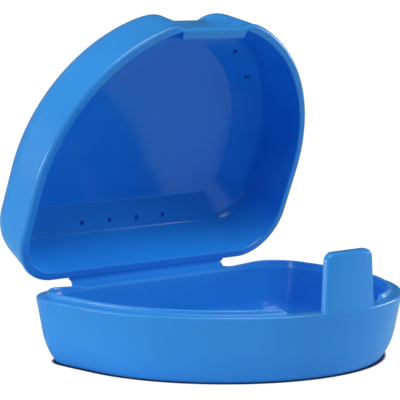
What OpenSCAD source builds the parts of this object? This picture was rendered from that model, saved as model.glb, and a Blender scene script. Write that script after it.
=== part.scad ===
// Retainer case: a D-shaped box moulded in one piece, with a thin folding hinge
// along the straight back edge and a push tab at the middle of the round front.
// Drawn with the lid standing open. Millimetres, Z up, front towards -Y.

/* [Case] */
// Overall width along the hinge
body_w = 76; // [68:1:84]
// Overall depth from the hinge edge to the front
body_d = 59; // [56:0.2:70]
// Radius of the two back corners in plan
corner_r = 11.2; // [8:0.2:12]
// Angle the lid stands open, 0 is shut
open_angle = 68.5; // [0:0.5:165]

/* [Base] */
// Height of the rim shoulder above the table
base_h = 13.6; // [11:0.2:18]
// Lean of the upper wall from upright, in degrees
base_lean = 10.6; // [4:0.2:14]
// Lean of the wall where it meets the foot, in degrees
foot_lean = 38; // [28:1:46]
// Radius of the curve from the wall to the foot
foot_curve_r = 14.2; // [8:0.2:16]
// Floor thickness
floor_t = 2; // [1.4:0.1:2.6]
// Radius where the floor meets the wall inside
floor_r = 5; // [3:0.2:6]

/* [Rim] */
// Thickness of the locating lip that stands inside the shut lid
lip_t = 0.85; // [0.75:0.05:1.2]
// Height of the locating lip above the shoulder
lip_h = 1; // [0.6:0.1:1.4]
// Length of rim without a lip at the front, for the latch
lip_gap = 26; // [24:0.5:30]
// Length of the slope at each hinge end of the lip
lip_ramp = 9; // [4:0.5:10]
// Side room between the lip and the lid wall
lip_clear = 0.2; // [0.15:0.05:0.4]
// Space between the two rims when shut
seam = 0.15; // [0.1:0.05:0.3]
// Rounding of the outer rim edges
rim_r = 0.45; // [0.3:0.05:0.6]

/* [Lid] */
// Depth of the lid from its rim to its flat top
lid_h = 15.4; // [13.6:0.2:19]
// Lean of the lid wall from upright, in degrees
lid_lean = 9.4; // [4:0.2:11]
// Largest radius of the rounded top edge
lid_edge_r = 8.9; // [5:0.1:10]
// Wall thickness at the lid rim
lid_wall = 2; // [1.8:0.05:2.3]
// Thickness of the flat top
top_t = 1.65; // [1.3:0.05:2]
// Place where the inner wall ends and the sloping band starts, in degrees round the top edge
crease_turn = 33; // [26:1:40]

/* [Latch] */
// Width of the push tab at the rim
tab_w = 13.6; // [10:0.2:15]
// Height of the push tab above the rim shoulder
tab_h = 11.6; // [8:0.2:12.4]
// How much narrower the tab is at its top
tab_taper = 1; // [0:0.1:2]
// Corner radius at the top of the tab
tab_r = 1.8; // [1:0.1:3]
// How far the tab face is set back from the base wall
tab_inset = 0.1; // [0.05:0.05:0.2]
// Depth of the hollow in the lid front that the tab enters
recess_d = 2.6; // [2.2:0.1:3]
// Room beside the tab in that hollow
recess_side = 0.5; // [0.4:0.1:1]
// Turn of the sloping sides of that hollow, in degrees
recess_turn = 42; // [34:1:50]
// Lean of those sides towards each other at the top, in degrees
recess_taper = 9; // [0:1:12]
// How much wider that hollow is at the rim, on each side
recess_flare = 1.1; // [0.6:0.1:1.2]
// Room between the tab and the back of the hollow when shut
tab_clear = 0.25; // [0.2:0.05:0.4]
// Length of the keeper bar behind the tab
keeper_w = 17.8; // [16:0.2:19]
// Thickness of the keeper bar
keeper_t = 2.5; // [2:0.1:2.9]
// Depth of the keeper bar from the lid rim
keeper_h = 3.2; // [2:0.2:5]
// Wall behind the hollow above the keeper bar
recess_wall = 1.7; // [1.3:0.1:1.9]

/* [Hinge] */
// Length of the folding strip
hinge_w = 43; // [36:1:48]
// Distance from the back walls to the fold line
hinge_reach = 1.4; // [1.3:0.05:2]
// Thickness of the leaves either side of the fold line
leaf_t = 0.7; // [0.5:0.05:0.9]
// Thickness of the film at the fold line
film_t = 0.5; // [0.4:0.05:0.6]
// Running room between the film bead and the lid leaf
film_clear = 0.05; // [0.04:0.01:0.1]

/* [Vents] */
// Diameter of the air holes in the lid
vent_d = 1.5; // [1:0.1:2]
// Number of air holes along the hinge side
vent_count = 4; // [2:1:5]
// Spacing of the air holes along the hinge side
vent_pitch = 7.8; // [6:0.2:9]
// Distance of the air holes inside the rim outline
vent_inset = 6.3; // [5.6:0.1:7]
// Place of the first side hole, in degrees from the front
vent_first = 39; // [34:1:46]
// Step between the side holes, in degrees
vent_step = 15.5; // [12:0.5:20]

/* [Hidden] */
$fn = 96;
front_r = body_w / 2;
front_y = -body_d / 2;
back_y = body_d / 2;
round_y = front_y + front_r;
corner_y = back_y - corner_r;
corner_x = front_r - corner_r;
side_l = corner_y - round_y;
lip_o = lid_wall + lip_clear;
rim_w = lip_o + lip_t;
axis_y = back_y + hinge_reach;
axis_z = base_h + seam / 2;
// Least plan radius kept at the back corners of every inner line
keep_r = 0.4;
lean_t = tan(lid_lean);
edge_gain = cos(lid_lean) - lean_t * (1 - sin(lid_lean));
// Top edge radius that still leaves a round back corner
edge_r = min(lid_edge_r, (corner_r - keep_r - lid_h * lean_t) / edge_gain);
edge_z = lid_h - edge_r;
edge_o = lean_t * (lid_h - edge_r * (1 - sin(lid_lean))) + edge_r * cos(lid_lean);
inner_r = edge_r - top_t;
crease_o = edge_o - inner_r * cos(crease_turn);
crease_z = edge_z + inner_r * sin(crease_turn);
recess_half = tab_w / 2 + recess_side;
// Lean of the flared sides, which meet the plain sides at the top of the keeper bar
flare_taper = atan(recess_flare / keeper_h + tan(recess_taper));
keeper_y = front_y + recess_d;
tab_back = keeper_y - tab_clear;
film_r = film_t / 2;
steps = 7;

// A section is a list of [inset from the outline, height], from bottom to top.
// Inset of the inner lid wall at a height below the crease
function wall_in(z) = lid_wall + (crease_o - lid_wall) * z / crease_z;

// Outside of the base, from the foot edge to the rounded shoulder
function base_outside() =
    let (rise = foot_curve_r * (sin(foot_lean) - sin(base_lean)))
    let (start = tan(base_lean) * (base_h - rim_r - rise))
    concat(
        [for (i = [0:steps])
            let (t = foot_lean + (base_lean - foot_lean) * i / steps)
            [start + foot_curve_r * (cos(base_lean) - cos(t)),
                rise - foot_curve_r * (sin(t) - sin(base_lean))]],
        [for (i = [0:4])
            let (t = 22.5 * i)
            [rim_r - rim_r * cos(t), base_h - rim_r + rim_r * sin(t)]]);

// Inside of the base, from the floor to above the rim
function base_inside() =
    let (low = floor_t + floor_r * (1 - sin(base_lean)))
    let (start = rim_w + tan(base_lean) * (base_h - low))
    concat(
        [for (i = [0:steps])
            let (t = 90 + (base_lean - 90) * i / steps)
            [start + floor_r * (cos(base_lean) - cos(t)),
                low - floor_r * (sin(t) - sin(base_lean))]],
        [[rim_w, base_h], [rim_w, base_h + 2]]);

// Outside of the lid, from the rim to the flat top
function lid_outside() = concat(
    [for (i = [0:3])
        let (t = 30 * i)
        [rim_r - rim_r * sin(t), rim_r - rim_r * cos(t)]],
    [for (i = [0:steps + 2])
        let (t = lid_lean + (90 - lid_lean) * i / (steps + 2))
        [edge_o - edge_r * cos(t), edge_z + edge_r * sin(t)]]);

// Inside of the lid, from below the rim to the underside of the top
function lid_inside() = [
    [wall_in(-2), -2],
    [crease_o, crease_z],
    [edge_o, edge_z + inner_r]];

// Solid with the D-shaped outline, drawn in by the section at each height
module d_solid(section) {
    low = section[0][1];
    high = section[len(section) - 1][1];
    half = concat([[0, low]], [for (p = section) [front_r - p[0], p[1]]], [[0, high]]);
    edge = concat([[0, low]], [for (p = section) [corner_r - p[0], p[1]]], [[0, high]]);
    translate([0, round_y, 0])
        rotate([0, 0, 180])
            rotate_extrude(angle = 180)
                polygon(half);
    for (s = [0, 1])
        mirror([s, 0, 0]) {
            translate([0, corner_y, 0])
                rotate([90, 0, 0])
                    linear_extrude(side_l)
                        polygon(half);
            translate([corner_x, corner_y, 0])
                rotate_extrude(angle = 90)
                    polygon(edge);
        }
    translate([-corner_x, corner_y, 0])
        rotate([90, 0, 90])
            linear_extrude(2 * corner_x)
                polygon(edge);
}

// Block in front of a lid section, set back, turned about an upright line and leant over
module front_block(section, back, half, turn, taper) {
    far = front_y - 20;
    past = 10;
    top = section[len(section) - 1];
    face = concat(
        [[far, -past], [front_y + back + section[0][0], -past]],
        [for (p = section) [front_y + back + p[0], p[1]]],
        [[front_y + back + top[0], lid_h + past], [far, lid_h + past]]);
    translate([half, front_y + back, 0])
        rotate([0, -taper, 0])
            rotate([0, 0, turn])
                translate([-half - body_w / 2, -front_y - back, 0])
                    rotate([90, 0, 90])
                        linear_extrude(body_w)
                            polygon(face);
}

// Flat-backed hollow with two sloping sides, open to the front
module front_hollow(section, back, half, turn, taper) {
    intersection() {
        front_block(section, back, 0, 0, 0);
        front_block(section, back, half, -turn, taper);
        mirror([1, 0, 0])
            front_block(section, back, half, -turn, taper);
    }
}

// Bar across the lid front at the rim
module keeper_block() {
    translate([-keeper_w / 2, keeper_y, 0])
        cube([keeper_w, keeper_t, keeper_h]);
}

// Air holes through the rounded top edge of the lid
module vent_holes() {
    for (i = [0:vent_count - 1])
        translate([(i - (vent_count - 1) / 2) * vent_pitch, back_y - vent_inset, edge_z])
            cylinder(d = vent_d, h = lid_h);
    for (s = [-1, 1])
        for (i = [0, 1])
            translate([0, round_y, edge_z])
                rotate([0, 0, s * (vent_first + i * vent_step)])
                    translate([0, vent_inset - front_r, 0])
                        cylinder(d = vent_d, h = lid_h);
}

// Moves a lid piece from its rim plane to the open pose
module on_lid() {
    translate([0, axis_y, axis_z])
        rotate([-open_angle, 0, 0])
            translate([0, -axis_y, seam / 2])
                children();
}

// Half of the locating lip, on the left side of the rim, sloped at its hinge end
module lip_half() {
    top = 0.15;
    end = hinge_w / 2 + 1;
    slope = [[-body_w, base_h - 1], [-end, base_h - 1], [-end, base_h],
        [-end - lip_ramp, base_h + lip_h], [-end - lip_ramp, base_h + lip_h + 1], [-body_w, base_h + lip_h + 1]];
    intersection() {
        difference() {
            d_solid([[lip_o, base_h], [wall_in(lip_h - top) + lip_clear, base_h + lip_h - top],
                [wall_in(lip_h) + lip_clear + top, base_h + lip_h]]);
            d_solid([[rim_w, base_h - 1], [rim_w, base_h + lip_h - top],
                [rim_w - top, base_h + lip_h], [rim_w - top, base_h + lip_h + 1]]);
        }
        union() {
            translate([-body_w, front_y - 1, base_h - 1])
                cube([body_w - lip_gap / 2, corner_y - front_y + 1, lip_h + 2]);
            translate([0, back_y + 1, 0])
                rotate([90, 0, 0])
                    linear_extrude(corner_r + 1)
                        polygon(slope);
        }
    }
}

// Shallow tray with a flat foot and a plain rim
module base_tray() {
    color([0.26, 0.56, 0.86])
        difference() {
            d_solid(base_outside());
            d_solid(base_inside());
        }
}

// Locating lip on the left of the rim
module lip_left() {
    color([0.3, 0.62, 0.9])
        lip_half();
}

// Locating lip on the right of the rim
module lip_right() {
    color([0.3, 0.62, 0.9])
        mirror([1, 0, 0])
            lip_half();
}

// Upright push tab on the front of the rim
module latch_tab() {
    half = tab_w / 2;
    tip = half - tab_taper / 2;
    face_r = front_r - tab_inset;
    outline = concat(
        [[-half, base_h], [half, base_h]],
        [for (i = [0:6]) [tip - tab_r + tab_r * cos(15 * i), base_h + tab_h - tab_r + tab_r * sin(15 * i)]],
        [for (i = [6:-1:0]) [tab_r - tip - tab_r * cos(15 * i), base_h + tab_h - tab_r + tab_r * sin(15 * i)]]);
    color([0.28, 0.58, 0.88])
        intersection() {
            translate([0, tab_back, 0])
                rotate([90, 0, 0])
                    linear_extrude(recess_d + 1)
                        polygon(outline);
            translate([0, round_y, base_h])
                cylinder(r1 = face_r, r2 = face_r - 0.3, h = tab_h);
        }
}

// Thin leaf from the back wall of the base to the fold line
module base_leaf() {
    color([0.22, 0.5, 0.82])
        difference() {
            translate([-hinge_w / 2, back_y - 2, base_h - leaf_t])
                cube([hinge_w, hinge_reach + 2, leaf_t]);
            d_solid(base_outside());
            translate([-hinge_w / 2 - 1, axis_y, axis_z])
                rotate([0, 90, 0])
                    cylinder(r = film_r, h = hinge_w + 2);
        }
}

// Thin round film along the fold line
module hinge_film() {
    color([0.2, 0.46, 0.78])
        translate([-hinge_w / 2, axis_y, axis_z])
            rotate([0, 90, 0])
                cylinder(r = film_r, h = hinge_w);
}

// Thin leaf from the fold line to the back wall of the lid
module lid_leaf() {
    color([0.22, 0.5, 0.82])
        on_lid()
            difference() {
                translate([-hinge_w / 2, back_y - 2, 0])
                    cube([hinge_w, hinge_reach + 2, leaf_t]);
                d_solid(lid_outside());
                translate([-hinge_w / 2 - 1, axis_y, -seam / 2])
                    rotate([0, 90, 0])
                        cylinder(r = film_r + film_clear, h = hinge_w + 2);
            }
}

// Deep lid with a rounded top edge, a plain rim and a hollow for the tab
module lid_shell() {
    color([0.24, 0.54, 0.86])
        on_lid()
            difference() {
                d_solid(lid_outside());
                difference() {
                    d_solid(lid_inside());
                    front_hollow(lid_outside(), recess_d + recess_wall, recess_half, 60, recess_taper);
                }
                front_hollow(lid_outside(), recess_d, recess_half, recess_turn, recess_taper);
                front_hollow(lid_outside(), recess_d, recess_half + recess_flare, recess_turn, flare_taper);
                keeper_block();
                vent_holes();
            }
}

// Straight bar across the front of the lid that the tab grips
module latch_keeper() {
    color([0.3, 0.6, 0.9])
        on_lid()
            keeper_block();
}

base_tray();
lip_left();
lip_right();
latch_tab();
base_leaf();
hinge_film();
lid_leaf();
lid_shell();
latch_keeper();
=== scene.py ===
import math

import bmesh
import bpy
import numpy as np
from mathutils import Matrix, Vector


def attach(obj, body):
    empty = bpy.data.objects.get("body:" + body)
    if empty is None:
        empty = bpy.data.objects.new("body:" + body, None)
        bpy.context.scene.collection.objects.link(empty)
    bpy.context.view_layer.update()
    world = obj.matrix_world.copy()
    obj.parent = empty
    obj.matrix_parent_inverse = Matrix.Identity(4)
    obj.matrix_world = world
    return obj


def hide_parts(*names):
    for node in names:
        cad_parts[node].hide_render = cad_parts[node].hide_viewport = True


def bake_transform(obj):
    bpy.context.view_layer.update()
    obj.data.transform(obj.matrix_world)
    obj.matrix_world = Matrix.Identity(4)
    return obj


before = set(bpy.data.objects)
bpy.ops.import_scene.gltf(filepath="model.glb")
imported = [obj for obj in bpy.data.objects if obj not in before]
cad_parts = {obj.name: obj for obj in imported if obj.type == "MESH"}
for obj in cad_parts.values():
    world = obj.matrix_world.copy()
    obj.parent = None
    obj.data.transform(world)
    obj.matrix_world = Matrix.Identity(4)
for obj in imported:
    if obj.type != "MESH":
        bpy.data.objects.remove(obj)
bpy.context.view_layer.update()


# Base: the shallow D-shaped tray that stands on the table, with the low locating lip that
# the lid drops over. It is polypropylene, injection moulded in one shot with the lid, satin
# outside and with a softer sheen inside; the outside is painted a lighter blue as light and the
# inside a darker blue as shade. Wall, rim and lip run into each other with small radii.
mm = 0.001
case_width = 76.0
case_depth = 59.0
back_corner = 11.2
front_radius = case_width / 2
front_edge = -case_depth / 2
back_edge = case_depth / 2
round_centre = front_edge + front_radius
corner_x = front_radius - back_corner
corner_y = back_edge - back_corner
base_step = 0.6
rim_height = 13.6
rim_round = 0.45
plain_rim_round = 0.28
rim_flat_start = 0.7
rim_flat_margin = 0.04
edge_steps = 7
wall_lean = math.radians(10.6)
wall_shares = (0.75, 0.5, 0.25, 0.06)
foot_lean = math.radians(38)
foot_curve = 14.2
foot_curve_steps = 14
foot_round_height = 0.46
foot_flats = (2.0, 0.6)
floor_thickness = 2.0
floor_round = 5.0
floor_flats = (0.5, 1.6)
inside_shares = (0.08, 0.3, 0.6, 0.9)
cove_steps = 12
lid_wall = 2.0
lip_room = 0.2
lip_thickness = 0.85
lip_height = 1.0
lip_front_end = 13.9
lip_front_full = 15.5
lip_step = 0.4
lip_step_start = 21.0
lip_step_end = 22.5
lip_ramp_start = 21.5
lip_ramp_end = 31.5


def rim_line(step):
    """Points [x, y] and outward directions round the D-shaped rim.

    The line runs anticlockwise from the middle of the hinge side.
    """
    points, outward = [], []

    def straight(start, end, direction):
        count = max(2, round(math.dist(start, end) / step))
        for t in np.arange(count) / count:
            points.append((start[0] + (end[0] - start[0]) * t, start[1] + (end[1] - start[1]) * t))
            outward.append(direction)

    def turn(centre, radius, first, last):
        count = max(6, round(radius * abs(last - first) / step))
        for a in first + (last - first) * np.arange(count) / count:
            points.append((centre[0] + radius * math.cos(a), centre[1] + radius * math.sin(a)))
            outward.append((math.cos(a), math.sin(a)))

    straight((0, back_edge), (-corner_x, back_edge), (0, 1))
    turn((-corner_x, corner_y), back_corner, math.pi / 2, math.pi)
    straight((-front_radius, corner_y), (-front_radius, round_centre), (-1, 0))
    turn((0, round_centre), front_radius, math.pi, 2 * math.pi)
    straight((front_radius, round_centre), (front_radius, corner_y), (1, 0))
    turn((corner_x, corner_y), back_corner, 0, math.pi / 2)
    straight((corner_x, back_edge), (0, back_edge), (0, 1))
    return np.array(points), np.array(outward)


def arc(centre, radius, first, last, count):
    """[inset, height] points of an arc whose angle 0 points out of the wall and 90 points up."""
    angles = np.radians(np.linspace(first, last, count))
    return np.c_[centre[0] - radius * np.cos(angles), centre[1] + radius * np.sin(angles)]


def between(value, start, end):
    """0 up to the start, 1 from the end on, and a straight change between them."""
    return min(1.0, max(0.0, (value - start) / (end - start)))


def eased(value, start, end):
    """The same change with a soft start and a soft end."""
    t = between(value, start, end)
    return t * t * (3 - 2 * t)


def lip_profile(start, inner, top):
    """[inset, height] points over the flat of the rim, up the lip, over it and down its inside."""
    flat = [[rim_flat_start, rim_height], [1.2, rim_height], [start - 0.35, rim_height]]
    root = [
        [start - 0.2, rim_height + 0.01],
        [start - 0.06, rim_height + 0.07],
        [start + 0.03, rim_height + 0.2],
    ]
    outer_face = [[start + 0.09, top - 0.45], [start + 0.13, top - 0.25]]
    outer_round = [[start + 0.19, top - 0.11], [start + 0.28, top - 0.03]]
    crest = [[start + 0.38, top], [inner - 0.3, top]]
    inner_round = [[inner - 0.2, top - 0.015], [inner - 0.09, top - 0.06], [inner - 0.02, top - 0.16]]
    inner_face = [[inner, top - 0.3], [inner, rim_height + 0.2], [inner + 0.02, rim_height - 0.1]]
    return np.array(flat + root + outer_face + outer_round + crest + inner_round + inner_face)


def plain_profile(inner, count):
    """[inset, height] points over the flat of the rim and round its inner edge, where no lip stands."""
    round_middle = (inner - plain_rim_round, rim_height - plain_rim_round)
    flat_end = inner - plain_rim_round - rim_flat_margin
    flat_steps = count - edge_steps
    flat = np.c_[np.linspace(rim_flat_start, flat_end, flat_steps), np.full(flat_steps, rim_height)]
    return np.vstack([flat, arc(round_middle, plain_rim_round, 90, 180, edge_steps)])


def base_section(lip):
    """[inset, height] from the middle of the foot, up the outside, over the rim and down to the floor."""
    shoulder_height = rim_height - rim_round
    rise = foot_curve * (math.sin(foot_lean) - math.sin(wall_lean))
    low_wall = math.tan(wall_lean) * (shoulder_height - rise)
    centre = (low_wall + foot_curve * math.cos(wall_lean), rise + foot_curve * math.sin(wall_lean))
    toe = math.asin(math.sin(foot_lean) - foot_round_height / foot_curve)
    toe_round = foot_round_height / (1 - math.sin(toe))
    bend = np.linspace(toe, wall_lean, foot_curve_steps)
    side = np.c_[centre[0] - foot_curve * np.cos(bend), centre[1] - foot_curve * np.sin(bend)]
    turn = np.linspace(math.pi / 2, toe, edge_steps)[:-1]
    edge_inset = side[0][0] + toe_round * (math.cos(toe) - np.cos(turn))
    edge = np.c_[edge_inset, toe_round * (1 - np.sin(turn))]
    foot = [[edge[0][0] + flat, 0] for flat in foot_flats]
    upper = [[low_wall * f, shoulder_height - (shoulder_height - rise) * f] for f in wall_shares]
    shoulder = arc((rim_round, shoulder_height), rim_round, 0, 90, edge_steps)

    lip_start = lid_wall + lip_room
    inner = lip_start + lip_thickness
    with_lip = lip_profile(lip_start, inner, rim_height + lip_height)
    plain = plain_profile(inner, len(with_lip))
    rim = plain + (with_lip - plain) * lip

    low = floor_thickness + floor_round * (1 - math.sin(wall_lean))
    deep = inner + math.tan(wall_lean) * (rim_height - low)
    walls = [[inner + (deep - inner) * f, rim_height + (low - rim_height) * f] for f in inside_shares]
    bend = np.linspace(wall_lean, math.pi / 2, cove_steps)
    cove_inset = deep + floor_round * (math.cos(wall_lean) - np.cos(bend))
    cove = np.c_[cove_inset, low - floor_round * (np.sin(bend) - math.sin(wall_lean))]
    floor = [[cove[-1][0] + flat, floor_thickness] for flat in floor_flats]
    return np.vstack([foot, edge, side, upper, shoulder, rim, walls, cove, floor])


def swept_mesh(name, rows, first_skin, last_skin, change):
    """A closed mesh with one ring per section point; the first and last rings are filled flat.

    Faces before the ring number in change take the first skin, the others the last skin.
    """
    rings, around = rows.shape[1], rows.shape[0]
    vertices = (rows.transpose(1, 0, 2) * mm).reshape(-1, 3)
    faces = []
    for j in range(rings - 1):
        for i in range(around):
            k = (i + 1) % around
            faces.append((j * around + i, j * around + k, (j + 1) * around + k, (j + 1) * around + i))
    faces.append(tuple(range(around))[::-1])
    faces.append(tuple(range((rings - 1) * around, rings * around)))
    mesh = bpy.data.meshes.new(name)
    mesh.from_pydata(vertices.tolist(), [], faces)
    mesh.materials.append(first_skin)
    mesh.materials.append(last_skin)
    late = [int(j >= change) for j in range(rings - 1) for _ in range(around)]
    mesh.polygons.foreach_set("material_index", late + [0, 1])
    piece = bpy.data.objects.new(name, mesh)
    bpy.context.scene.collection.objects.link(piece)
    return piece


def smooth_moulding(piece):
    """Smooth shading that keeps flat faces flat and leaves the highlights to the small radii."""
    piece.data.polygons.foreach_set("use_smooth", [True] * len(piece.data.polygons))
    weighted = piece.modifiers.new("even_normals", "WEIGHTED_NORMAL")
    weighted.keep_sharp = True
    weighted.weight = 60


def lip_share(point):
    """1 where the locating lip stands at full height, 0 at the latch and along the hinge."""
    across = abs(point[0])
    if point[1] > corner_y:
        step = eased(across, lip_step_start, lip_step_end)
        ramp = between(across, lip_ramp_start, lip_ramp_end)
        return lip_step * step + (1 - lip_step) * ramp
    if point[1] < round_centre:
        return eased(across, lip_front_end, lip_front_full)
    return 1.0


def blue_polypropylene(name, blue, roughness, grain, shine):
    """Coloured-through polypropylene: a little light goes in, and the skin has a faint moulded grain."""
    material = bpy.data.materials.new(name)
    material.use_nodes = True
    nodes, links = material.node_tree.nodes, material.node_tree.links
    skin = nodes["Principled BSDF"]
    skin.inputs["IOR"].default_value = 1.49
    skin.inputs["Specular IOR Level"].default_value = shine
    skin.inputs["Subsurface Weight"].default_value = 0.12
    skin.inputs["Subsurface Radius"].default_value = (0.35, 0.7, 1.0)
    skin.inputs["Subsurface Scale"].default_value = 0.0015
    place = nodes.new("ShaderNodeTexCoord")
    clouds = nodes.new("ShaderNodeTexNoise")
    clouds.inputs["Scale"].default_value = 38
    clouds.inputs["Detail"].default_value = 3
    tint = nodes.new("ShaderNodeValToRGB")
    tint.color_ramp.elements[0].position = 0.3
    tint.color_ramp.elements[0].color = [c * 0.95 for c in blue] + [1]
    tint.color_ramp.elements[1].position = 0.7
    tint.color_ramp.elements[1].color = [min(1, c * 1.04) for c in blue] + [1]
    flow = nodes.new("ShaderNodeTexNoise")
    flow.inputs["Scale"].default_value = 160
    flow.inputs["Detail"].default_value = 4
    sheen = nodes.new("ShaderNodeMapRange")
    sheen.inputs["From Min"].default_value = 0.3
    sheen.inputs["From Max"].default_value = 0.7
    sheen.inputs["To Min"].default_value = roughness - 0.04
    sheen.inputs["To Max"].default_value = roughness + 0.05
    fine = nodes.new("ShaderNodeTexNoise")
    fine.inputs["Scale"].default_value = 2600
    fine.inputs["Detail"].default_value = 2
    bump = nodes.new("ShaderNodeBump")
    bump.inputs["Strength"].default_value = grain
    bump.inputs["Distance"].default_value = 0.00004
    for texture in (clouds, flow, fine):
        links.new(place.outputs["Object"], texture.inputs["Vector"])
    links.new(clouds.outputs["Fac"], tint.inputs["Fac"])
    links.new(tint.outputs["Color"], skin.inputs["Base Color"])
    links.new(flow.outputs["Fac"], sheen.inputs["Value"])
    links.new(sheen.outputs["Result"], skin.inputs["Roughness"])
    links.new(fine.outputs["Fac"], bump.inputs["Height"])
    links.new(bump.outputs["Normal"], skin.inputs["Normal"])
    return material


# One blue plastic in lit and shaded copies: this outside blue is made lighter, as painted light.
lit_satin_blue = blue_polypropylene(
    "satin_polypropylene_painted_light", blue=(0.048, 0.345, 0.9), roughness=0.21, grain=0.15, shine=0.5
)
# Darker copy of the same blue for the inside of the base: painted shade.
shaded_soft_blue = blue_polypropylene(
    "soft_polypropylene_painted_shade", blue=(0.024, 0.275, 0.83), roughness=0.215, grain=0.15, shine=0.22
)

base_rows = []
for point, outward in zip(*rim_line(base_step)):
    row = []
    for inset, height in base_section(lip_share(point)):
        x, y = point - outward * inset
        row.append((x, y, height))
    base_rows.append(row)
base_rows = np.array(base_rows)
inside_rings = len(inside_shares) + cove_steps + len(floor_flats)
inside_start = base_rows.shape[1] - inside_rings
# Outside faces take the lighter painted-light blue, inside faces the darker painted-shade blue.
base_tray = swept_mesh("base_tray_moulding", base_rows, lit_satin_blue, shaded_soft_blue, inside_start)
smooth_moulding(base_tray)
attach(base_tray, "base")
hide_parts("base_tray", "lip_left", "lip_right")


# Push tab: the upright tongue at the middle of the front that the thumb presses to free the
# lid. It grows out of the rim in the same shot, with a curved face, a flat back and soft edges.
tab_width = 14.1
tab_height = 11.6
tab_taper = 1.0
tab_corner = 1.8
tab_setback = 0.1
tab_back = front_edge + 2.35
tab_lean = 0.3
tab_edge = 0.95
tab_back_edge = 0.2
tab_root = 0.4
tab_shoulder = tab_height - tab_corner
tab_columns = 25
tab_edge_steps = 8
tab_side_steps = 20
tab_corner_shares = np.linspace(0.15, 1, 6)
tab_top_steps = 15


def tab_half_width(height):
    """Half width of the tab at a height over the rim, with the rounded top corners."""
    straight = tab_width / 2 - tab_taper / 2 * between(height, 0, tab_shoulder)
    over = height - tab_shoulder
    if over <= 0:
        return straight
    return straight - tab_corner + math.sqrt(max(0.0, tab_corner**2 - over**2))


def tab_loop(height):
    """Closed level line round the tab at a height over the rim, thinner where the top edges round over."""
    over = between(height, tab_height - tab_edge, tab_height)
    drawn = 1 - math.sqrt(1 - over * over)
    half = tab_half_width(height)
    radius = front_radius - tab_setback - tab_lean * max(0.0, height) / tab_height

    def face(x):
        return round_centre - math.sqrt(radius**2 - x**2) + tab_edge * drawn

    back = tab_back - tab_back_edge * drawn
    quarter = np.radians(np.linspace(0, 90, tab_edge_steps))
    side = half - tab_edge
    front = [(x, face(x)) for x in np.linspace(-side, side, tab_columns)]
    right = []
    for a in quarter[1:]:
        right.append((side + tab_edge * math.sin(a), face(side) + tab_edge * (1 - math.cos(a))))
    side = half - tab_back_edge
    for a in quarter:
        right.append((side + tab_back_edge * math.cos(a), back - tab_back_edge * (1 - math.sin(a))))
    behind = [(x, back) for x in np.linspace(side, -side, tab_columns)[1:-1]]
    left = [(-x, y) for x, y in right[::-1]]
    return [(x, y, rim_height + height) for x, y in front + right + behind + left]


tab_top_turn = np.sin(np.radians(np.linspace(0, 90, tab_top_steps)))
tab_heights = np.r_[
    -tab_root,
    np.linspace(0, tab_shoulder, tab_side_steps),
    tab_shoulder + (tab_corner - tab_edge) * tab_corner_shares,
    tab_height - tab_edge + tab_edge * tab_top_turn[1:],
]
tab_loops = np.array([tab_loop(height) for height in tab_heights])
# The tab takes the lighter outside blue: painted light.
push_tab = swept_mesh("push_tab", tab_loops.transpose(1, 0, 2), lit_satin_blue, lit_satin_blue, 0)
smooth_moulding(push_tab)
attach(push_tab, "base")
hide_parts("latch_tab")


# Lid: the deep half, a wall that leans in to a broad rounded edge and a top whose inside is a
# shallow polished dish. Its front is drawn in to take the tab, with a straight keeper bar across
# the rim there. It is the same moulding as the base, with small air holes through its edge; its
# inside is painted a darker blue than its outside, as shade.
lid_step = 0.55
lid_depth = 15.4
lid_lean = math.radians(9.4)
lid_edge = 8.9
top_thickness = 1.65
lid_edge_height = lid_depth - lid_edge
lid_lean_end = lid_edge_height + lid_edge * math.sin(lid_lean)
lid_edge_inset = math.tan(lid_lean) * lid_lean_end + lid_edge * math.cos(lid_lean)
inner_edge = lid_edge - top_thickness
crease_turn = math.radians(33)
crease_inset = lid_edge_inset - inner_edge * math.cos(crease_turn)
crease = np.array((crease_inset, lid_edge_height + inner_edge * math.sin(crease_turn)))
crease_round = 2.2
crease_corner = 8.6
crease_round_steps = 11
panel_round = 1.2
panel_round_steps = 9
panel_corner = 6.2
band_shares = (0.2, 0.4, 0.6, 0.8)
smallest_corner = 1.0
dish_depth = 1.1
dish_reach = 20.0
dish_core = 8.0
dish_start = 1.3
dish_power = 2.4
dish_middle = 2.0
dish_core_steps = 12
dish_edge_steps = 9
rim_inner_round = 0.22
rim_outer_round = 0.8
rim_face_insets = (1.62, 1.4, 1.1, 0.85)
dome_steps = 26
top_flats = (0.4, 0.95)
recess_depth = 2.5
recess_half = 7.3
recess_turn = math.radians(42)
recess_taper = math.radians(9)
recess_wall = 1.7
recess_soft = 1.5
recess_foot = 0.35
recess_slope = 0.04
recess_limit = 0.6
backing_turn = math.radians(60)
bar_flare = 1.2
bar_turn = math.radians(20)
bar_soft = 0.9
bar_low = 1.9
bar_high = 4.1
keeper_half_angle = math.radians(14.3)
keeper_thickness = 2.5
keeper_height = 3.2
keeper_edge_low = keeper_height - 0.04
keeper_edge_high = keeper_height + 0.08


def lid_outer_inset(height):
    """Inset of the lid's outside at a height over its rim."""
    if height <= lid_lean_end:
        return math.tan(lid_lean) * max(0.0, height)
    s = min(1.0, (height - lid_edge_height) / lid_edge)
    return lid_edge_inset - lid_edge * math.sqrt(1 - s * s)


def rounded(before, corner, after, radius, count):
    """[inset, height] points of a small round in the corner between two straight lines."""
    first = (before - corner) / np.linalg.norm(before - corner)
    last = (after - corner) / np.linalg.norm(after - corner)
    half = math.acos(first @ last) / 2
    middle = (first + last) / np.linalg.norm(first + last)
    centre = corner + middle * radius / math.sin(half)
    swing = math.pi / 2 - half
    across = (last - first) / np.linalg.norm(last - first)
    angles = np.linspace(-swing, swing, count)
    return np.array([centre + radius * (across * math.sin(a) - middle * math.cos(a)) for a in angles])


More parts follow.
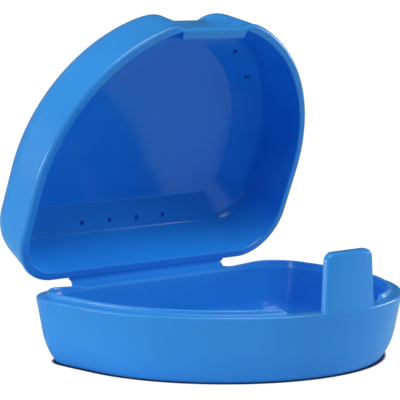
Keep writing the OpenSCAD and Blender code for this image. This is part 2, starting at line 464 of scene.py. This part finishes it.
def lid_sections():
    """[inset, height, side] from the inside of the top, down to the rim and up the outside.

    Side is 0 on the inside, 1 on the outside, and changes across the flat of the rim.
    """
    panel_edge = np.array((lid_edge_inset, lid_depth - top_thickness))
    core_reaches = np.linspace(dish_reach, dish_core, dish_core_steps)[1:-1]
    reaches = np.r_[core_reaches, np.linspace(dish_core, dish_start, dish_edge_steps)]
    hollow = dish_depth * (1 - (1 - reaches / dish_reach) ** dish_power)
    panel = panel_edge + np.c_[reaches, hollow]
    rim_edge = np.array((lid_wall, 0.0))
    band_start = rounded(panel[-1], panel_edge, crease, panel_round, panel_round_steps)
    band = [panel_edge + (crease - panel_edge) * f for f in band_shares]
    band_end = rounded(panel_edge, crease, rim_edge, crease_round, crease_round_steps)
    slope = (crease[0] - lid_wall) / crease[1]
    upper_heights = [9.4, 8.2, 6.6, 5.0, 3.9, 3.45]
    keeper_heights = [3.3, 3.16, 3.06, 2.9]
    lower_heights = [2.4, 1.6, 0.9, 0.5, rim_inner_round]
    wall = [[lid_wall + slope * h, h] for h in upper_heights + keeper_heights + lower_heights]
    face_start = lid_wall - rim_inner_round
    edge = arc((face_start, rim_inner_round), rim_inner_round, 180, 270, 6)[1:]
    inside = np.vstack([panel, band_start, band, band_end, wall, edge])
    face_width = face_start - rim_outer_round
    face = [[x, 0.0, 1 - (x - rim_outer_round) / face_width] for x in rim_face_insets]
    outer = arc((rim_outer_round, rim_outer_round), rim_outer_round, -90, 0, 8)
    bar_heights = (1.1, 1.6, 2.1, 2.5, 2.9, 3.3, 3.7, 4.2, 5.2, 6.6)
    leaning = [[math.tan(lid_lean) * h, h] for h in bar_heights]
    dome = arc((lid_edge_inset, lid_edge_height), lid_edge, math.degrees(lid_lean), 90, dome_steps)
    top = [[lid_edge_inset + flat, lid_depth] for flat in top_flats]
    outside = np.vstack([outer, leaning, dome, top])
    return [[*p, 0.0] for p in inside] + face + [[*p, 1.0] for p in outside]


def larger(a, b, soft):
    """The larger of two numbers, with the change between them rounded off."""
    return (a + b + math.sqrt((a - b) ** 2 + soft * soft)) / 2


def drawn_in(x, y, height, back, flare, low_turn, turn):
    """How far the front of the lid is moved back at a point to make the hollow for the tab."""
    inset = lid_outer_inset(height)
    above = eased(height, bar_low, bar_high)
    half = recess_half + flare * (1 - above)
    half += inset * math.tan(recess_turn / 2) - height * math.tan(recess_taper)
    slope = math.tan(low_turn) + (math.tan(turn) - math.tan(low_turn)) * above
    past = abs(x) - half
    flank = (past + math.sqrt(past * past + recess_foot * recess_foot)) / 2
    floor = front_edge + back + inset + recess_slope * height - flank * slope
    return larger(y, floor, bar_soft + (recess_soft - bar_soft) * above) - y


def inside_lid(point, outward, inset):
    """Place of a rim point moved in, with back corners that change from rim to crease to panel."""
    turns = (back_corner - lid_wall, crease_corner, panel_corner)
    corner = np.interp(inset, (lid_wall, crease[0], lid_edge_inset), turns)
    corner -= max(0.0, inset - lid_edge_inset) + min(0.0, inset - lid_wall)
    corner = max(corner, smallest_corner)
    side_x = front_radius - inset
    back_y = back_edge - inset
    turn_x = side_x - corner
    turn_y = back_y - corner
    x, y = point
    if y <= round_centre:
        return x - outward[0] * inset, y - outward[1] * inset
    if y < corner_y:
        up = (y - round_centre) / (corner_y - round_centre)
        return math.copysign(side_x, x), round_centre + up * (turn_y - round_centre)
    if abs(x) > corner_x:
        return math.copysign(turn_x, x) + corner * outward[0], turn_y + corner * outward[1]
    return x / corner_x * turn_x, back_y


def dished(point, outward, inset):
    """Place of a rim point moved in; far inside the panel the line only shrinks to its middle."""
    core = lid_edge_inset + dish_core
    x, y = inside_lid(point, outward, min(inset, core))
    share = 1 - max(0.0, inset - core) / (dish_reach - dish_core)
    return x * share, dish_middle + (y - dish_middle) * share


def lid_rows(points, directions, sections):
    """One row of points per place on the rim, with the hollow and the keeper bar worked in."""
    rows = []
    backing = recess_depth + recess_wall
    for point, outward in zip(points, directions):
        angle = math.atan2(abs(point[0]), round_centre - point[1])
        row = []
        for inset, height, side in sections:
            x, y = point - outward * inset
            if side == 0:
                x, y = dished(point, outward, inset)
            if point[1] < round_centre and angle < recess_limit:
                out_y = point[1] - outward[1] * lid_outer_inset(height)
                out_move = drawn_in(point[0], out_y, height, recess_depth, bar_flare, bar_turn, recess_turn)
                in_move = drawn_in(x, y, height, backing, 0.0, backing_turn, backing_turn)
                if angle < keeper_half_angle:
                    share = 1 - between(height, keeper_edge_low, keeper_edge_high)
                    reach = front_edge + recess_depth + keeper_thickness
                    if height < rim_inner_round:
                        reach -= lid_wall - inset
                    in_move += share * max(0.0, reach - y - in_move)
                y += in_move + (out_move - in_move) * side
            row.append((x, y, height))
        rows.append(row)
    return np.array(rows)


# The keeper's ends are square, so two lines of points stand close together at each end of it.
end_gap = 0.0025
end_clear = 0.006
front_margin = 1.0
lid_points, lid_outward = rim_line(lid_step)
keeper_ends = []
for side in (-1, 1):
    for nudge in (-end_gap, end_gap):
        keeper_ends.append(-math.pi / 2 + side * (keeper_half_angle + nudge))
on_front = lid_points[:, 1] < round_centre - front_margin
front_angle = np.arctan2(lid_points[:, 1] - round_centre, lid_points[:, 0])
keep = np.ones(len(lid_points), bool)
for a in keeper_ends:
    keep &= ~(on_front & (np.abs(front_angle - a) < end_clear))
lid_points = lid_points[keep]
lid_outward = lid_outward[keep]
front_angle = front_angle[keep]
on_front = on_front[keep]
for a in keeper_ends:
    direction = np.array((math.cos(a), math.sin(a)))
    after = int(np.argmax(on_front & (front_angle > a)))
    lid_points = np.insert(lid_points, after, front_radius * direction + (0, round_centre), axis=0)
    lid_outward = np.insert(lid_outward, after, direction, axis=0)
    front_angle = np.insert(front_angle, after, a)
    on_front = np.insert(on_front, after, True)

# Darker copy of the same blue for the inside of the lid: painted shade. Its lower roughness is the polished
# finish.
shaded_gloss_blue = blue_polypropylene(
    "gloss_polypropylene_painted_shade", blue=(0.022, 0.302, 0.875), roughness=0.12, grain=0.03, shine=0.5
)
sections = lid_sections()
rim_rings = 8
outside_start = [side for _, _, side in sections].index(1.0)
lid_mould = lid_rows(lid_points, lid_outward, sections)
# Inside faces take the darker painted-shade blue, outside faces the lighter painted-light blue.
lid = swept_mesh("lid_moulding", lid_mould, shaded_gloss_blue, lit_satin_blue, outside_start - rim_rings)

vent_width = 1.12
vent_round = 0.19
vent_sides = 32
vent_pin_length = 11.0
vent_inset = 6.3
vent_radius = front_radius - vent_inset
back_vents = 4
back_vent_pitch = 7.8
front_vents = 2
front_vent_first = 39.0
front_vent_step = 15.5
vent_places = []
for i in range(back_vents):
    vent_places.append(((i - (back_vents - 1) / 2) * back_vent_pitch, back_edge - vent_inset))
for side in (-1, 1):
    for i in range(front_vents):
        a = math.radians(front_vent_first + i * front_vent_step)
        vent_places.append((side * vent_radius * math.sin(a), round_centre - vent_radius * math.cos(a)))
vent_pins = bmesh.new()
for x, y in vent_places:
    bmesh.ops.create_cone(
        vent_pins,
        cap_ends=True,
        segments=vent_sides,
        radius1=vent_width / 2 * mm,
        radius2=vent_width / 2 * mm,
        depth=vent_pin_length * mm,
        matrix=Matrix.Translation(Vector((x, y, lid_edge_height + vent_pin_length / 2)) * mm),
    )
pin_mesh = bpy.data.meshes.new("vent_pins")
vent_pins.to_mesh(pin_mesh)
vent_pins.free()
pins = bpy.data.objects.new("vent_pins", pin_mesh)
bpy.context.scene.collection.objects.link(pins)
drill = lid.modifiers.new("vents", "BOOLEAN")
drill.operation = "DIFFERENCE"
drill.solver = "EXACT"
drill.object = pins
drilled = bpy.data.meshes.new_from_object(lid.evaluated_get(bpy.context.evaluated_depsgraph_get()))
lid.modifiers.clear()
lid.data = drilled
lid.data.name = "lid_moulding"
bpy.data.objects.remove(pins)

sharp_turn = math.radians(25)
near_vent = 0.06


def on_vent(edge):
    """Whether an edge of the drilled lid is part of the sharp rim of an air hole."""
    if len(edge.link_faces) != 2 or edge.calc_face_angle(0) < sharp_turn:
        return False
    middle = (edge.verts[0].co + edge.verts[1].co) / 2 / mm
    if middle.z <= lid_edge_height:
        return False
    away = [math.dist((middle.x, middle.y), place) for place in vent_places]
    return any(abs(distance - vent_width / 2) < near_vent for distance in away)


holes = bmesh.new()
holes.from_mesh(lid.data)
bmesh.ops.bevel(
    holes,
    geom=[edge for edge in holes.edges if on_vent(edge)],
    offset=vent_round * mm,
    segments=4,
    profile=0.5,
    affect="EDGES",
    clamp_overlap=True,
)
holes.to_mesh(lid.data)
holes.free()

seam = 0.15
hinge_reach = 1.4
open_angle = math.radians(68.5)
fold_y = back_edge + hinge_reach
fold_z = rim_height + seam / 2
opened = (
    Matrix.Translation(Vector((0, fold_y, fold_z)) * mm)
    @ Matrix.Rotation(-open_angle, 4, "X")
    @ Matrix.Translation(Vector((0, -fold_y, seam / 2)) * mm)
)
lid.data.transform(opened)
smooth_moulding(lid)
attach(lid, "lid")
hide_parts("lid_shell", "latch_keeper")


# Hinge strip: the thin leaf that joins base and lid along the straight back edge. It is the
# same plastic run thin, thinnest at the fold line, and its ends are cut away in round notches.
# It takes the darker inside blue, as painted shade.
hinge_length = 43.0
leaf_thickness = 0.7
leaf_gap = 0.01
leaf_level = leaf_thickness / 2 + seam / 2 + leaf_gap
film_thickness = 0.42
film_half = 0.2
film_fade = 0.7
film_fade_power = 1.5
notch_radius = 0.85
notch_limit = 0.995
root_flare = 0.5
base_end_flare = 0.5
lid_end_draw = 0.3
base_tail_reaches = (0.6, 0.3)
lid_tail_reaches = (0.45, 0.9)
strip_handle = 0.62
strip_stations = 41
strip_columns = 25
strip_edge = 0.98
strip_edge_thin = 0.72


def turned(y, z):
    """A point of the shut lid, measured from the fold line, carried to the open pose."""
    c, s = math.cos(open_angle), math.sin(open_angle)
    return np.array((y * c + z * s, -y * s + z * c))


base_root = np.array((-hinge_reach, -leaf_level))
lid_root = turned(-hinge_reach, leaf_level)
base_handle = base_root + (strip_handle, 0)
lid_handle = turned(-hinge_reach + strip_handle, leaf_level)
along = np.linspace(0, 1, strip_stations)[:, None]
curve = (
    base_root * (1 - along) ** 3
    + 3 * base_handle * along * (1 - along) ** 2
    + 3 * lid_handle * along**2 * (1 - along)
    + lid_root * along**3
)
base_tail = [base_root - (reach, 0) for reach in base_tail_reaches]
lid_tail = [turned(-hinge_reach - reach, leaf_level) for reach in lid_tail_reaches]
line = np.vstack([base_tail, curve, lid_tail])
tangent = np.gradient(line, axis=0)
tangent /= np.linalg.norm(tangent, axis=1)[:, None]
normal = np.c_[-tangent[:, 1], tangent[:, 0]]
travel = np.r_[0, np.cumsum(np.linalg.norm(np.diff(line, axis=0), axis=1))]
fold = len(base_tail) + strip_stations // 2
from_fold = np.abs(travel - travel[fold])
fade = np.clip((from_fold - film_half) / film_fade, 0, 1) ** film_fade_power
thickness = film_thickness + (leaf_thickness - film_thickness) * fade
notch = np.clip(from_fold / notch_radius, 0, notch_limit)
ends = hinge_length / 2 + notch_radius * (1 - np.sqrt(1 - notch**2))
ends += root_flare * np.clip(from_fold - notch_radius, 0, 1)
base_part = slice(0, strip_stations // 2)
lid_part = slice(fold, None)
ends[base_part] += base_end_flare * notch[base_part] ** 2
ends[lid_part] -= lid_end_draw * notch[lid_part] ** 2
strip_rings = []
for share in np.r_[-1, np.linspace(-strip_edge, strip_edge, strip_columns), 1]:
    thin = strip_edge_thin if abs(share) == 1 else 1
    over, under = [], []
    for k in range(len(line)):
        half = normal[k] * thickness[k] / 2 * thin
        for skin, (y, z) in ((over, line[k] + half), (under, line[k] - half)):
            skin.append((share * ends[k], fold_y + y, fold_z + z))
    strip_rings.append(over + under[::-1])
strip_rings = np.array(strip_rings)
# The strip uses the darker inside blue: painted shade.
hinge_strip = swept_mesh("hinge_strip", strip_rings.transpose(1, 0, 2), shaded_soft_blue, shaded_soft_blue, 0)
strip_faces = bmesh.new()
strip_faces.from_mesh(hinge_strip.data)
bmesh.ops.recalc_face_normals(strip_faces, faces=strip_faces.faces)
strip_faces.to_mesh(hinge_strip.data)
strip_faces.free()
smooth_moulding(hinge_strip)
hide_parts("base_leaf", "hinge_film", "lid_leaf")
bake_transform(hinge_strip)


# Table: one sheet of white paper that lies flat under the case and is curved up behind it. To
# the camera it glows clean white, except in a thin dark line where the foot of the case meets it:
# there the glow fades out and a dark navy colour shows, a painted contact shadow. It throws a
# cool light back on the case.
table_half = 1.4
table_front = -0.22
table_back = 0.9
table_bend = 0.5
table_top = 1.9
table_profile = [(table_front, 0.0), (table_back, 0.0)]
for t in np.radians(np.linspace(10, 90, 9)):
    table_profile.append((table_back + table_bend * math.sin(t), table_bend * (1 - math.cos(t))))
table_profile.append((table_back + table_bend, table_top))
table_mesh = bmesh.new()
table_edges = []
for y, z in table_profile:
    table_edges.append([table_mesh.verts.new((x, y, z)) for x in (-table_half, table_half)])
for a, b in zip(table_edges[:-1], table_edges[1:]):
    table_mesh.faces.new((a[0], a[1], b[1], b[0]))
table_data = bpy.data.meshes.new("table_sweep")
table_mesh.to_mesh(table_data)
table_mesh.free()
table_data.polygons.foreach_set("use_smooth", [True] * len(table_data.polygons))
table = bpy.data.objects.new("table_sweep", table_data)
bpy.context.scene.collection.objects.link(table)
paper = bpy.data.materials.new("white_paper")
paper.use_nodes = True
nodes, links = paper.node_tree.nodes, paper.node_tree.links
nodes.clear()
surface = nodes.new("ShaderNodeOutputMaterial")
matt = nodes.new("ShaderNodeBsdfDiffuse")
matt.inputs["Color"].default_value = (0.5, 0.8, 0.9, 1)
# Dark navy colour of the painted contact shadow, seen only by the camera.
shade = nodes.new("ShaderNodeBsdfDiffuse")
shade.inputs["Color"].default_value = (0.05, 0.07, 0.14, 1)
glow = nodes.new("ShaderNodeEmission")
glow.inputs["Color"].default_value = (1, 1, 1, 1)
# Where the case comes close the glow fades out: painted shade under the foot.
painted_shade_near_case = nodes.new("ShaderNodeAmbientOcclusion")
painted_shade_near_case.samples = 16
painted_shade_near_case.inputs["Distance"].default_value = 0.0016
clean = nodes.new("ShaderNodeMapRange")
clean.inputs["From Min"].default_value = 0.48
clean.inputs["From Max"].default_value = 0.62
clean.inputs["To Min"].default_value = 0.0
clean.inputs["To Max"].default_value = 1.0
links.new(painted_shade_near_case.outputs["AO"], clean.inputs["Value"])
links.new(clean.outputs["Result"], glow.inputs["Strength"])
both = nodes.new("ShaderNodeAddShader")
path = nodes.new("ShaderNodeLightPath")
choose = nodes.new("ShaderNodeMixShader")
links.new(shade.outputs["BSDF"], both.inputs[0])
links.new(glow.outputs["Emission"], both.inputs[1])
links.new(path.outputs["Is Camera Ray"], choose.inputs["Fac"])
links.new(matt.outputs["BSDF"], choose.inputs[1])
links.new(both.outputs["Shader"], choose.inputs[2])
links.new(choose.outputs["Shader"], surface.inputs["Surface"])
table.data.materials.append(paper)


# Studio light: long low windows to the left and the right, soft panels over the case and in
# front of it, and a dim room around, which only looks white behind the case. All are plain
# rectangles that face the case.
lamp_aim = Vector((0, 0, 0.03))
world = bpy.data.worlds.new("studio")
world.use_nodes = True
nodes, links = world.node_tree.nodes, world.node_tree.links
nodes["Background"].inputs["Color"].default_value = (1, 1, 1, 1)
seen = nodes.new("ShaderNodeLightPath")
room = nodes.new("ShaderNodeMapRange")
room.inputs["To Min"].default_value = 0.03
room.inputs["To Max"].default_value = 1.0
links.new(seen.outputs["Is Camera Ray"], room.inputs["Value"])
links.new(room.outputs["Result"], nodes["Background"].inputs["Strength"])
bpy.context.scene.world = world


def soft_window(name, place, width, height, power):
    """A rectangular soft light that faces the case."""
    lamp = bpy.data.lights.new(name, "AREA")
    lamp.shape = "RECTANGLE"
    lamp.size = width
    lamp.size_y = height
    lamp.energy = power
    holder = bpy.data.objects.new(name, lamp)
    holder.location = place
    holder.rotation_euler = (lamp_aim - Vector(place)).to_track_quat("-Z", "Y").to_euler()
    bpy.context.scene.collection.objects.link(holder)


soft_window("left_window", place=(-0.95, 0.4, 0.09), width=0.9, height=0.16, power=4.6)
soft_window("left_wall", place=(-0.72, 0.75, 0.22), width=0.9, height=0.5, power=0.5)
soft_window("front_ceiling", place=(-0.05, -0.47, 0.88), width=0.75, height=0.25, power=4.1)
soft_window("left_ceiling", place=(-0.3, -0.15, 0.95), width=0.6, height=0.6, power=2.2)
soft_window("right_window", place=(0.95, -0.2, 0.12), width=0.6, height=0.2, power=2.8)
soft_window("front_fill", place=(0.03, -0.85, 0.6), width=0.3, height=0.25, power=1.0)
soft_window("right_glint", place=(0.7, -0.6, 0.42), width=0.09, height=0.09, power=0.08)


# Camera: a long lens on the front left of the case, a little above the rim and turned very
# slightly. It looks a little to the left of the middle of the case.
camera_azimuth = math.radians(-43.4566)
camera_elevation = math.radians(6.4787)
camera_roll = math.radians(0.3528)
camera_distance = 430.24
lens_pixels = 2095.85
picture_pixels = 400
film_width = 36
aim_height = 30.0
aim_right = -9.987
aim_up = 2.677
level = math.cos(camera_elevation)
back = Vector(
    (math.sin(camera_azimuth) * level, -math.cos(camera_azimuth) * level, math.sin(camera_elevation))
)
flat_right = Vector((math.cos(camera_azimuth), math.sin(camera_azimuth), 0))
flat_up = back.cross(flat_right)
right = flat_right * math.cos(camera_roll) + flat_up * math.sin(camera_roll)
up = flat_up * math.cos(camera_roll) - flat_right * math.sin(camera_roll)
aim = Vector((0, 0, aim_height)) + right * aim_right + up * aim_up
camera_data = bpy.data.cameras.new("camera")
camera_data.lens = lens_pixels * film_width / picture_pixels
camera_data.sensor_width = film_width
camera_data.clip_start = 0.01
camera_data.clip_end = 20
camera = bpy.data.objects.new("camera", camera_data)
axes = Matrix((right, up, back)).transposed().to_4x4()
camera.matrix_world = Matrix.Translation((aim + back * camera_distance) * mm) @ axes
bpy.context.scene.collection.objects.link(camera)
bpy.context.scene.camera = camera
bpy.context.scene.view_settings.view_transform = "Standard"
